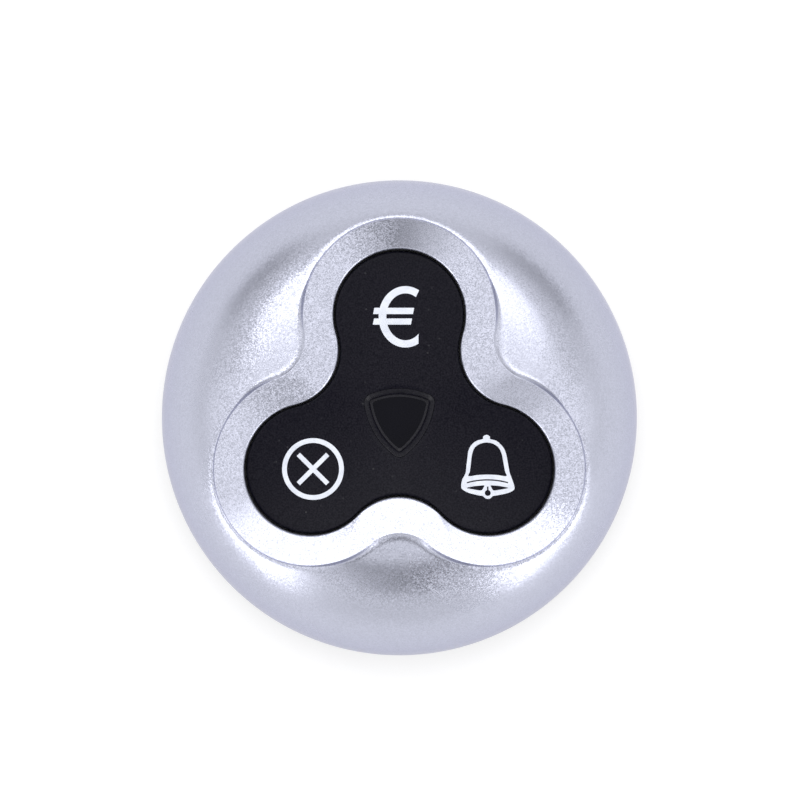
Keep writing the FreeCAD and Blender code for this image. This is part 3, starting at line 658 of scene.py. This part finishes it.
# Materials
class Finish:
    """One material with its shader, and the effects placed in it."""

    def __init__(self, name, colour, roughness, metallic=0.0, specular=0.5):
        self.material = bpy.data.materials.new(name)
        self.material.use_nodes = True
        self.tree = self.material.node_tree
        self.shader = self.tree.nodes["Principled BSDF"]
        self.shader.inputs["Base Color"].default_value = (*colour, 1)
        self.shader.inputs["Roughness"].default_value = roughness
        self.shader.inputs["Metallic"].default_value = metallic
        self.shader.inputs["Specular IOR Level"].default_value = specular
        self.colour_link = None
        self.normal_link = None

    def effect(self, key, **values):
        node = self.tree.nodes.new("ShaderNodeGroup")
        node.node_tree = effects[key]
        for label, value in values.items():
            node.inputs[label.replace("_", " ")].default_value = value
        return node

    def tint(self, mask, colour):
        """Mixes a colour in where the mask is."""
        mix = self.tree.nodes.new("ShaderNodeMix")
        mix.data_type = "RGBA"
        self.tree.links.new(mask, mix.inputs["Factor"])
        if self.colour_link is None:
            mix.inputs["A"].default_value = self.shader.inputs["Base Color"].default_value
        else:
            self.tree.links.new(self.colour_link, mix.inputs["A"])
        mix.inputs["B"].default_value = (*colour, 1)
        self.colour_link = mix.outputs["Result"]
        self.tree.links.new(self.colour_link, self.shader.inputs["Base Color"])

    def sheen_range(self, value, low, high):
        """Roughness from low to high with the value."""
        level = add_range(self.tree, value, 0.0, 1.0, low, high)
        self.tree.links.new(level, self.shader.inputs["Roughness"])

    def relief(self, height, depth):
        """Bumps of a depth in metres, on top of the normal so far."""
        bump = self.tree.nodes.new("ShaderNodeBump")
        bump.inputs["Distance"].default_value = depth
        bump.inputs["Strength"].default_value = 1.0
        self.tree.links.new(height, bump.inputs["Height"])
        if self.normal_link is not None:
            self.tree.links.new(self.normal_link, bump.inputs["Normal"])
        self.normal_link = bump.outputs["Normal"]
        self.tree.links.new(self.normal_link, self.shader.inputs["Normal"])


def silver_paint():
    finish = Finish("silver_paint", (0.325, 0.337, 0.400), 0.28, metallic=0.92)
    finish.shader.inputs["Specular Tint"].default_value = (0.80, 0.80, 0.88, 1)
    flakes_and_glints = finish.effect("flakes_and_glints", Flake_Size=8000, Tilt=0.10)
    grain = finish.effect("grain", Grain_Size=2600, Drift_Size=60)
    # Base colour from each flake's own tone, with painted glints where that tone spreads wider on sloping
    # paint.
    finish.tint(flakes_and_glints.outputs["Tone"], (0.605, 0.620, 0.735))
    finish.sheen_range(grain.outputs["Drift"], 0.26, 0.30)
    finish.normal_link = flakes_and_glints.outputs["Normal"]
    finish.relief(grain.outputs["Height"], 0.000003)
    return finish.material


def black_rubber(name, specular):
    finish = Finish(name, (0.0002, 0.0, 0.0034), 0.36, specular=specular)
    grain = finish.effect("grain", Grain_Size=5200, Drift_Size=160)
    dust = finish.effect("dust", Speck_Spacing=1100, Speck_Share=0.14)
    finish.tint(grain.outputs["Speckle"], (0.0080, 0.0075, 0.0125))
    finish.tint(dust.outputs["Mask"], (0.03, 0.03, 0.034))
    finish.sheen_range(grain.outputs["Drift"], 0.34, 0.40)
    finish.relief(grain.outputs["Height"], 0.000012)
    return finish.material


def sign_ink():
    finish = Finish("sign_ink", (0.62, 0.65, 0.73), 0.45)
    grain = finish.effect("grain", Grain_Size=4200, Drift_Size=900)
    finish.tint(grain.outputs["Drift"], (0.73, 0.76, 0.84))
    finish.relief(grain.outputs["Height"], 0.000004)
    return finish.material


def moulded(name, colour, other, roughness, metallic=0.0, specular=0.5,
            grain_size=3500, grain_depth=0.000008, drift_size=120):
    """Plain finish of an inner or lower piece: two tones that drift, grain and a little dust."""
    roughness_spread = 0.06
    dust_colour = tuple(min(1.0, c * 0.6 + 0.25) for c in colour)
    finish = Finish(name, colour, roughness, metallic=metallic, specular=specular)
    grain = finish.effect("grain", Grain_Size=grain_size, Drift_Size=drift_size)
    dust = finish.effect("dust", Speck_Spacing=600, Speck_Share=0.1)
    finish.tint(grain.outputs["Drift"], other)
    finish.tint(dust.outputs["Mask"], dust_colour)
    finish.sheen_range(grain.outputs["Height"], roughness - roughness_spread, roughness + roughness_spread)
    finish.relief(grain.outputs["Height"], grain_depth)
    return finish.material


def inner_materials():
    """Finishes of the nodes that keep their own mesh, by their slot in the record."""
    plain = {
        "inner_plastic": ((0.030, 0.030, 0.032), (0.040, 0.040, 0.043), 0.5),
        "stem_plastic": ((0.05, 0.05, 0.05), (0.06, 0.06, 0.06), 0.45),
        "chip_plastic": ((0.025, 0.025, 0.027), (0.033, 0.033, 0.035), 0.6),
        "resistor_body": ((0.03, 0.03, 0.035), (0.04, 0.04, 0.046), 0.3),
        "capacitor_body": ((0.42, 0.30, 0.17), (0.36, 0.25, 0.14), 0.4),
        "seal_rubber": ((0.02, 0.02, 0.02), (0.028, 0.028, 0.028), 0.7),
    }
    metal = {
        "sheet_steel": ((0.62, 0.61, 0.58), (0.54, 0.53, 0.51), 0.28),
        "tinned_wire": ((0.70, 0.70, 0.68), (0.62, 0.62, 0.61), 0.3),
        "copper_wire": ((0.60, 0.28, 0.12), (0.52, 0.22, 0.09), 0.3),
        "spring_wire": ((0.66, 0.65, 0.62), (0.58, 0.57, 0.55), 0.25),
        "screw_steel": ((0.30, 0.30, 0.31), (0.24, 0.24, 0.25), 0.35),
    }
    made = {slot: moulded(slot, *look) for slot, look in plain.items()}
    made.update({slot: moulded(slot, *look, metallic=1.0) for slot, look in metal.items()})
    made["smoke_lens"] = moulded("smoke_lens", (0.0004, 0.0004, 0.0025), (0.0012, 0.0012, 0.0040), 0.36,
                                 specular=0.085, grain_depth=0.000002)
    made["board"] = moulded("board", (0.02, 0.18, 0.07), (0.025, 0.21, 0.085), 0.35, drift_size=300)
    made["led_resin"] = moulded("led_resin", (0.75, 0.76, 0.72), (0.68, 0.70, 0.66), 0.25,
                                grain_depth=0.000002)
    made["battery_sleeve"] = moulded("battery_sleeve", (0.10, 0.11, 0.13), (0.13, 0.14, 0.16), 0.35,
                                     metallic=0.5)
    made["base_plastic"] = moulded("base_plastic", (0.035, 0.035, 0.038), (0.045, 0.045, 0.049), 0.55,
                                   grain_size=1800, grain_depth=0.00002)
    made["pad_foam"] = moulded("pad_foam", (0.80, 0.80, 0.78), (0.72, 0.72, 0.69), 0.8,
                               grain_size=1400, grain_depth=0.00005)
    return made


def dress(piece, material):
    piece.data.materials.clear()
    piece.data.materials.append(material)


dress(silver_shell(), silver_paint())
rubber = black_rubber("black_rubber", specular=0.095)
for key in KEY_ANGLES:
    dress(key_lobe(key), rubber)
dress(window_frame(), black_rubber("window_rubber", specular=0.22))
ink = sign_ink()
for sign in [bill_sign(), *cancel_sign(), call_sign()]:
    dress(sign, ink)

finishes = inner_materials()
made_anew = {"top_shell", "keypad_web", "bill_key", "cancel_key", "call_key"}
for subpart in frame["record"]["subparts"]:
    if subpart["node"] not in made_anew:
        dress(frame["nodes"][subpart["node"]], finishes[subpart["material_slot"]])


# Floor, light and camera, in metres
def backdrop_glow(tree, low, high):
    """The high level where the camera, gloss and glass see the backdrop, and the low one for its light."""
    path = tree.nodes.new("ShaderNodeLightPath")
    seen = path.outputs["Is Camera Ray"]
    for label in ("Is Glossy Ray", "Is Transmission Ray"):
        seen = math_step(tree, "MAXIMUM", seen, path.outputs[label])
    return add_range(tree, seen, 0.0, 1.0, low, high)


def stage_sheet(name, width, height, finish):
    mesh = bpy.data.meshes.new(name)
    corners = [(x * width / 2, y * height / 2, 0) for x, y in ((-1, -1), (1, -1), (1, 1), (-1, 1))]
    mesh.from_pydata(corners, [], [(0, 1, 2, 3)])
    sheet = bpy.data.objects.new(name, mesh)
    bpy.context.collection.objects.link(sheet)
    sheet.data.materials.append(finish.material)
    return sheet


def paper(name, colour, other, drift_size):
    """Dull paper or card whose tone drifts between two colours."""
    finish = Finish(name, colour, 0.9, specular=0.0)
    grain = finish.effect("grain", Grain_Size=300, Drift_Size=drift_size)
    finish.tint(grain.outputs["Drift"], other)
    return finish


def pale_floor():
    """Floor just under the object, clear when seen from below."""
    side, drop = 4.0, 0.0002
    finish = paper("floor_paper", (0.48, 0.48, 0.49), (0.50, 0.50, 0.50), 3)
    finish.shader.inputs["Emission Color"].default_value = (1, 1, 1, 1)
    tree = finish.tree
    tree.links.new(backdrop_glow(tree, 0.0, 0.58), finish.shader.inputs["Emission Strength"])
    clear = tree.nodes.new("ShaderNodeBsdfTransparent")
    facing = tree.nodes.new("ShaderNodeNewGeometry")
    mix = tree.nodes.new("ShaderNodeMixShader")
    tree.links.new(facing.outputs["Backfacing"], mix.inputs[0])
    tree.links.new(finish.shader.outputs["BSDF"], mix.inputs[1])
    tree.links.new(clear.outputs["BSDF"], mix.inputs[2])
    tree.links.new(mix.outputs["Shader"], tree.nodes["Material Output"].inputs["Surface"])
    stage_sheet("floor", side, side, finish).location.z = -drop


def aim(piece, azimuth, tilt, distance):
    """Turns a lamp or card to the object. Azimuth is from +X and tilt from straight up, in degrees."""
    a, t = math.radians(azimuth), math.radians(tilt)
    direction = Vector((math.sin(t) * math.cos(a), math.sin(t) * math.sin(a), math.cos(t)))
    piece.location = direction * distance
    piece.rotation_euler = direction.to_track_quat("Z", "Y").to_euler()
    piece.visible_camera = False


def soft_light(name, azimuth, tilt, distance, width, height, radiance, shape="RECTANGLE"):
    data = bpy.data.lights.new(name, "AREA")
    data.shape = shape
    data.size, data.size_y = width, height
    area = width * height * (math.pi / 4 if shape == "ELLIPSE" else 1)
    data.energy = radiance * math.pi * area
    lamp = bpy.data.objects.new(name, data)
    bpy.context.collection.objects.link(lamp)
    aim(lamp, azimuth, tilt, distance)


def studio():
    world = bpy.data.worlds.new("studio")
    bpy.context.scene.world = world
    world.use_nodes = True
    tree = world.node_tree
    sky = tree.nodes["Background"]
    sky.inputs["Color"].default_value = (1, 1, 1, 1)
    tree.links.new(backdrop_glow(tree, 0.75, 1.0), sky.inputs["Strength"])
    soft_light("north_softbox", azimuth=90, tilt=34, distance=1.2, width=1.82, height=1.12, radiance=1.6,
               shape="ELLIPSE")
    soft_light("overhead_softbox", azimuth=0, tilt=0, distance=1.5, width=0.9, height=0.9, radiance=0.3,
               shape="ELLIPSE")
    soft_light("east_panel", azimuth=0, tilt=52, distance=1.2, width=0.42, height=1.2, radiance=0.45)
    soft_light("west_panel", azimuth=180, tilt=48, distance=1.2, width=0.42, height=1.2, radiance=0.4)
    for name, azimuth in (("southeast_low_lamp", 319), ("southwest_low_lamp", 221)):
        soft_light(name, azimuth, tilt=77, distance=1.0, width=0.54, height=0.60, radiance=2.5)
    for name, azimuth in (("southeast_fill_lamp", 323), ("southwest_fill_lamp", 217)):
        soft_light(name, azimuth, tilt=37, distance=1.2, width=0.46, height=0.36, radiance=0.55)
    grey = paper("card_grey", (0.17, 0.17, 0.18), (0.20, 0.20, 0.21), 8)
    pale = paper("card_pale", (0.32, 0.32, 0.33), (0.36, 0.36, 0.37), 8)
    aim(stage_sheet("south_card", 0.20, 0.66, grey), azimuth=270, tilt=38, distance=1.0)
    aim(stage_sheet("south_bar_card", 0.50, 0.12, grey), azimuth=270, tilt=27, distance=0.98)
    for name, azimuth in (("northeast_card", 45), ("northwest_card", 135)):
        aim(stage_sheet(name, 0.5, 0.24, pale), azimuth, tilt=83, distance=1.0)


def camera():
    data = bpy.data.cameras.new("camera")
    data.sensor_width = 36
    data.lens = 711.0
    data.shift_x = CENTRE_ASIDE / PICTURE_SIDE
    data.shift_y = CENTRE_BELOW / PICTURE_SIDE
    data.clip_end = 10
    view = bpy.data.objects.new("camera", data)
    bpy.context.collection.objects.link(view)
    view.location = (0, 0, CAMERA_HEIGHT)
    bpy.context.scene.camera = view


pale_floor()
studio()
camera()
bpy.context.scene.view_settings.view_transform = "Standard"
